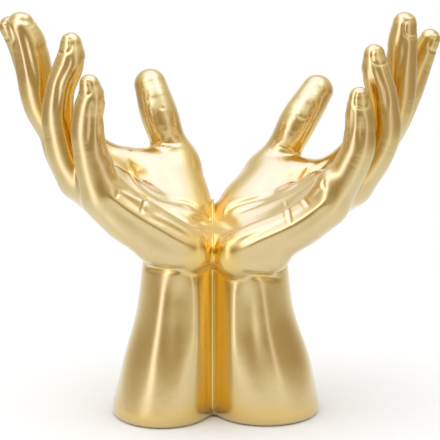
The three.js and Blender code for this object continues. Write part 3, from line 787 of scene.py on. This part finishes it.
def cut(obj, point, normal):
    """Cuts the mesh at a plane, drops what lies past it and closes the cut with one flat face."""
    bm = bmesh.new()
    bm.from_mesh(obj.data)
    done = bmesh.ops.bisect_plane(bm, geom=bm.verts[:] + bm.edges[:] + bm.faces[:], dist=1e-7,
                                  plane_co=Vector((ORIGIN + np.array(point)) * MM),
                                  plane_no=Vector(normal), clear_outer=True)
    rim = [e for e in done["geom_cut"] if isinstance(e, bmesh.types.BMEdge) and e.is_boundary]
    made = bmesh.ops.edgenet_fill(bm, edges=rim)["faces"]
    for face in made:
        face.smooth = False
        for edge in face.edges:
            edge.smooth = False
    bmesh.ops.recalc_face_normals(bm, faces=bm.faces[:])
    bm.to_mesh(obj.data)
    bm.free()


def object_space(tree):
    return tree.nodes.new("ShaderNodeTexCoord").outputs["Object"]


def noise(tree, scale, detail=3.0):
    """A noise texture in the object's own space."""
    texture = tree.nodes.new("ShaderNodeTexNoise")
    texture.inputs["Scale"].default_value = scale
    texture.inputs["Detail"].default_value = detail
    tree.links.new(object_space(tree), texture.inputs["Vector"])
    return texture.outputs["Fac"]


def ramp(tree, factor, colors, start=0.3, end=0.7):
    """A colour between two, as the factor goes from start to end."""
    node = tree.nodes.new("ShaderNodeValToRGB")
    for element, place, color in zip(node.color_ramp.elements, (start, end), colors):
        element.position = place
        element.color = (*color, 1)
    tree.links.new(factor, node.inputs["Fac"])
    return node.outputs["Color"]


def math_node(tree, operation, *values):
    """One sum on sockets or plain numbers."""
    node = tree.nodes.new("ShaderNodeMath")
    node.operation = operation
    for value, socket in zip(values, node.inputs):
        if isinstance(value, bpy.types.NodeSocket):
            tree.links.new(value, socket)
        else:
            socket.default_value = value
    return node.outputs["Value"]


def span(tree, factor, least, most, start=0, end=1):
    """The factor, as it goes from start to end, spread over a range of values."""
    node = tree.nodes.new("ShaderNodeMapRange")
    node.inputs["From Min"].default_value = start
    node.inputs["From Max"].default_value = end
    node.inputs["To Min"].default_value = least
    node.inputs["To Max"].default_value = most
    tree.links.new(factor, node.inputs["Value"])
    return node.outputs["Result"]


def bump(tree, height, strength, depth, normal=None):
    """A bump, its depth in millimetres, on top of another where one is given."""
    node = tree.nodes.new("ShaderNodeBump")
    node.inputs["Strength"].default_value = strength
    node.inputs["Distance"].default_value = depth * MM
    tree.links.new(height, node.inputs["Height"])
    if normal is not None:
        tree.links.new(normal, node.inputs["Normal"])
    return node.outputs["Normal"]


def new_material(name):
    material = bpy.data.materials.new(name)
    material.use_nodes = True
    return material, material.node_tree, material.node_tree.nodes["Principled BSDF"]


def unshaded_share(tree, deepest):
    """Share of gold left without painted shade: less in the hollows and in the valley over the joint, all of
    it at the foot.
    """
    hollow = tree.nodes.new("ShaderNodeAmbientOcclusion")
    hollow.inputs["Distance"].default_value = PAINTED_SHADE_DISTANCE * MM
    hollow.samples = PAINTED_SHADE_SAMPLES
    place = tree.nodes.new("ShaderNodeSeparateXYZ")
    tree.links.new(object_space(tree), place.inputs[0])
    foot = span(tree, place.outputs["Z"], 1, 0, 0, PAINTED_SHADE_FOOT * MM)
    aside = math_node(tree, "ABSOLUTE", math_node(tree, "SUBTRACT", place.outputs["X"], ORIGIN[0] * MM))
    valley = span(tree, aside, PAINTED_SHADE_LEAST, 1, 0, PAINTED_SHADE_REACH * MM)
    below = span(tree, place.outputs["Z"], 1, 0, *(z * MM for z in PAINTED_SHADE_HEIGHTS))
    # Painted shade where ambient occlusion finds hollows, and in the valley over the joint up high
    unshaded = math_node(tree, "MINIMUM", span(tree, hollow.outputs["AO"], deepest, PAINTED_SHADE_OPEN),
                     math_node(tree, "MAXIMUM", valley, below))
    return math_node(tree, "MAXIMUM", unshaded, foot)


def gold_material(name):
    """Satin gold paint under a thin clear coat, with orange peel and grain, and painted shade in deeper amber
    in the hollows.
    """
    material, tree, shader = new_material(name)
    shader.inputs["Metallic"].default_value = 1.0
    shader.inputs["Coat Weight"].default_value = 1.0
    shader.inputs["Coat IOR"].default_value = COAT_IOR
    shader.inputs["Coat Roughness"].default_value = COAT_ROUGHNESS
    # Painted shade: the deep amber mixed into the base colour where the gold lies in hollows
    shade_mix = tree.nodes.new("ShaderNodeMix")
    shade_mix.data_type = "RGBA"
    shade_mix.inputs["A"].default_value = (*GOLD_PAINTED_SHADE, 1)
    tree.links.new(unshaded_share(tree, PAINTED_SHADE_DEEPEST[name]), shade_mix.inputs["Factor"])
    tree.links.new(ramp(tree, noise(tree, scale=14), [GOLD_DEEP, GOLD_LIGHT]), shade_mix.inputs["B"])
    tree.links.new(shade_mix.outputs["Result"], shader.inputs["Base Color"])
    tree.links.new(span(tree, noise(tree, scale=60, detail=5), *PAINT_ROUGHNESS), shader.inputs["Roughness"])
    peel = bump(tree, noise(tree, scale=75, detail=2.5), strength=0.12, depth=1.2)
    grain = bump(tree, noise(tree, scale=900, detail=2), strength=0.08, depth=0.06, normal=peel)
    tree.links.new(grain, shader.inputs["Normal"])
    return material


def steel_material():
    """Turned steel with fine rings round the bar."""
    material, tree, shader = new_material("dowel_steel")
    shader.inputs["Metallic"].default_value = 1.0
    tree.links.new(ramp(tree, noise(tree, scale=120), STEEL), shader.inputs["Base Color"])
    rings = tree.nodes.new("ShaderNodeTexWave")
    rings.bands_direction = "X"
    rings.inputs["Scale"].default_value = 1200
    rings.inputs["Distortion"].default_value = 0.6
    tree.links.new(object_space(tree), rings.inputs["Vector"])
    tree.links.new(span(tree, rings.outputs["Fac"], 0.28, 0.45), shader.inputs["Roughness"])
    tree.links.new(bump(tree, rings.outputs["Fac"], strength=0.15, depth=0.05), shader.inputs["Normal"])
    return material


def rubber_material():
    """Matt black moulded rubber with a dusty bloom."""
    material, tree, shader = new_material("plug_rubber")
    shades = ramp(tree, noise(tree, scale=90, detail=6), RUBBER, start=0.35, end=0.75)
    tree.links.new(shades, shader.inputs["Base Color"])
    tree.links.new(span(tree, noise(tree, scale=260), 0.65, 0.85), shader.inputs["Roughness"])
    pores = bump(tree, noise(tree, scale=1500, detail=4), strength=0.3, depth=0.08)
    tree.links.new(pores, shader.inputs["Normal"])
    return material


def felt_material():
    """Pressed felt: matted fibres in two browns."""
    material, tree, shader = new_material("pad_felt")
    shader.inputs["Roughness"].default_value = 1.0
    shader.inputs["Sheen Weight"].default_value = 0.6
    tree.links.new(ramp(tree, noise(tree, scale=700, detail=8), FELT), shader.inputs["Base Color"])
    fibres = bump(tree, noise(tree, scale=1800, detail=8), strength=0.8, depth=0.2)
    tree.links.new(fibres, shader.inputs["Normal"])
    return material


gold = gold_material("satin_gold")
hands = {name: Hand(name) for name in SIDES}
for name, hand in hands.items():
    low, high = hand.box()
    field = seam_filled(name)
    points, quads = surface_nets(sample_grid(field, low, high), low)
    points = settle(field, relax(points, quads))
    normals = vertex_normals(points, quads)
    points = points + normals * carve(hand, points, normals)[:, None]
    obj = mesh_object(f"{name}_hand", points, quads)
    cut(obj, (hand.side * JOINT_GAP / 2, 0, 0), (-hand.side, 0, 0))
    cut(obj, (0, 0, 0), (0, 0, -1))
    obj.data.materials.append(gold)
    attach(obj, "root")
    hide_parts(f"{name}_hand_casting")

bead = bead_mesh("seam_bead")
bead.data.materials.append(gold_material("bead_gold"))
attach(bead, "root")
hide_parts("joint_bead")

DRESSED = {
    steel_material(): ["lower_dowel", "upper_dowel"],
    rubber_material(): ["left_base_plug", "right_base_plug"],
    felt_material(): ["left_front_pad", "left_back_pad", "right_front_pad", "right_back_pad"],
}
for material, names in DRESSED.items():
    for name in names:
        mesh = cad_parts[name].data
        mesh.materials.clear()
        mesh.materials.append(material)

# Studio, in metres and degrees: a small table top, a glowing tent that only the castings see, and a soft lamp
TABLE_RADIUS = 0.3
TABLE_FADE = (0.12, 0.27)
TABLE_COLOR = (0.97, 0.97, 0.97)
TENT_RADIUS = 0.8
TENT_MIDDLE = Vector((0, 0, 0.12))
TENT_FOOT = -60
TENT_TURNS = 180
TENT_RISES = 60
# The tent's glow at heights over the horizon
GLOW = [
    (-30, (1.0, 1.0, 1.0)), (-15, (0.87, 0.81, 0.62)), (-6, (0.61, 0.485, 0.32)), (4, (0.63, 0.51, 0.33)),
    (20, (0.79, 0.685, 0.465)), (36, (0.93, 0.865, 0.66)), (48, (1.15, 1.16, 1.05)), (60, (1.65, 1.68, 2.35)),
    (90, (1.75, 1.78, 2.7)),
]
GLOW_LEAST = 0.05
# Soft panels and flags on it: azimuth (0 to the viewer, + to the right), height, their spreads, strength
PANELS = [
    (-40, 48, 17, 13, 0.9), (-46, 10, 10, 28, 1.4), (58, 57, 14, 8, 0.8), (42, 6, 8, 24, 0.5),
    (180, 8, 26, 14, 0.5), (180, 44, 60, 13, -0.15), (-103, 0, 26, 24, -0.1), (100, 2, 24, 24, -0.12),
    (-8, 24, 14, 15, -0.3), (4, -3, 20, 9, -0.12),
]
PANEL_TINT = np.array([1, 1.04, 1.38])
LAMP_PLACE = Vector((-0.1, -0.1, 0.75))
LAMP_AIM = Vector((0, 0, 0.1))
LAMP_SIZE = 0.6
LAMP_POWER = 1.1


def floor_material():
    """A matt table top that fades away towards its rim."""
    material, tree, shader = new_material("floor")
    shader.inputs["Base Color"].default_value = (*TABLE_COLOR, 1)
    shader.inputs["Roughness"].default_value = 1.0
    shader.inputs["Specular IOR Level"].default_value = 0
    middle = tree.nodes.new("ShaderNodeVectorMath")
    middle.operation = "LENGTH"
    tree.links.new(object_space(tree), middle.inputs[0])
    fade = span(tree, middle.outputs["Value"], 0, 1, *TABLE_FADE)
    fade.node.interpolation_type = "SMOOTHSTEP"
    edge = tree.nodes.new("ShaderNodeMixShader")
    tree.links.new(fade, edge.inputs["Fac"])
    tree.links.new(shader.outputs[0], edge.inputs[1])
    tree.links.new(tree.nodes.new("ShaderNodeBsdfTransparent").outputs[0], edge.inputs[2])
    tree.links.new(edge.outputs[0], tree.nodes["Material Output"].inputs["Surface"])
    return material


def tent_material():
    """Light in the colours that the tent's points hold."""
    material, tree, shader = new_material("tent")
    tree.nodes.remove(shader)
    emission = tree.nodes.new("ShaderNodeEmission")
    colors = tree.nodes.new("ShaderNodeVertexColor")
    colors.layer_name = "glow"
    tree.links.new(colors.outputs["Color"], emission.inputs["Color"])
    tree.links.new(emission.outputs[0], tree.nodes["Material Output"].inputs["Surface"])
    material.cycles.emission_sampling = "NONE"
    return material


def glow(azimuth, height):
    """Colour of the tent in a direction."""
    color = np.array([np.interp(height, [g[0] for g in GLOW], [g[1][k] for g in GLOW]) for k in range(3)])
    for at, up, across, tall, strength in PANELS:
        turn = (azimuth - at + 180) % 360 - 180
        tint = PANEL_TINT if strength > 0 else 1
        color += strength * tint * math.exp(-0.5 * ((turn / across) ** 2 + ((height - up) / tall) ** 2))
    return np.maximum(color, GLOW_LEAST)


def tent_mesh(name):
    """A dome round the table, with its glow kept as a colour on each point."""
    points, colors = [], []
    for height in np.linspace(TENT_FOOT, 90, TENT_RISES + 1)[:-1]:
        for azimuth in np.arange(TENT_TURNS) * 360 / TENT_TURNS - 180:
            h, a = math.radians(height), math.radians(azimuth)
            way = Vector((math.sin(a) * math.cos(h), -math.cos(a) * math.cos(h), math.sin(h)))
            points.append(TENT_MIDDLE + TENT_RADIUS * way)
            colors.append((*glow(azimuth, height), 1))
    points.append(TENT_MIDDLE + Vector((0, 0, TENT_RADIUS)))
    colors.append((*glow(0, 90), 1))
    faces = []
    for k in range(TENT_RISES):
        for i in range(TENT_TURNS):
            here, there = k * TENT_TURNS + i, k * TENT_TURNS + (i + 1) % TENT_TURNS
            top = [there + TENT_TURNS, here + TENT_TURNS] if k < TENT_RISES - 1 else [len(points) - 1]
            faces.append([here, there] + top)
    mesh = bpy.data.meshes.new(name)
    mesh.from_pydata(points, [], faces)
    layer = mesh.color_attributes.new("glow", "FLOAT_COLOR", "POINT")
    layer.data.foreach_set("color", np.array(colors).ravel())
    obj = bpy.data.objects.new(name, mesh)
    scene.collection.objects.link(obj)
    return obj


def posed(place, back):
    """The placement of a lamp or camera whose back points one way."""
    return Matrix.LocRotScale(Vector(place), Vector(back).to_track_quat("Z", "Y"), None)


scene = bpy.context.scene
scene.view_settings.view_transform = "Standard"

bpy.ops.mesh.primitive_circle_add(vertices=96, radius=TABLE_RADIUS, fill_type="NGON")
floor = bpy.context.object
floor.name = "floor"
floor.data.materials.append(floor_material())

tent = tent_mesh("tent")
tent.data.materials.append(tent_material())
tent.visible_camera = False
tent.visible_diffuse = False
tent.visible_shadow = False

lamp = bpy.data.lights.new("overhead", "AREA")
lamp.shape = "RECTANGLE"
lamp.size = lamp.size_y = LAMP_SIZE
lamp.energy = LAMP_POWER
overhead = bpy.data.objects.new("overhead", lamp)
scene.collection.objects.link(overhead)
overhead.matrix_world = posed(LAMP_PLACE, LAMP_PLACE - LAMP_AIM)
overhead.visible_glossy = False

world = bpy.data.worlds.new("studio")
scene.world = world
world.use_nodes = True
background = world.node_tree.nodes["Background"]
background.inputs["Color"].default_value = (1, 1, 1, 1)
background.inputs["Strength"].default_value = 1.0

camera = bpy.data.cameras.new("camera")
camera.sensor_width = SENSOR
camera.lens = SENSOR * DISTANCE / SCALE / PICTURE
eye = bpy.data.objects.new("camera", camera)
scene.collection.objects.link(eye)
eye.matrix_world = posed((ORIGIN + FOCUS + DISTANCE * BACK) * MM, BACK)
scene.camera = eye
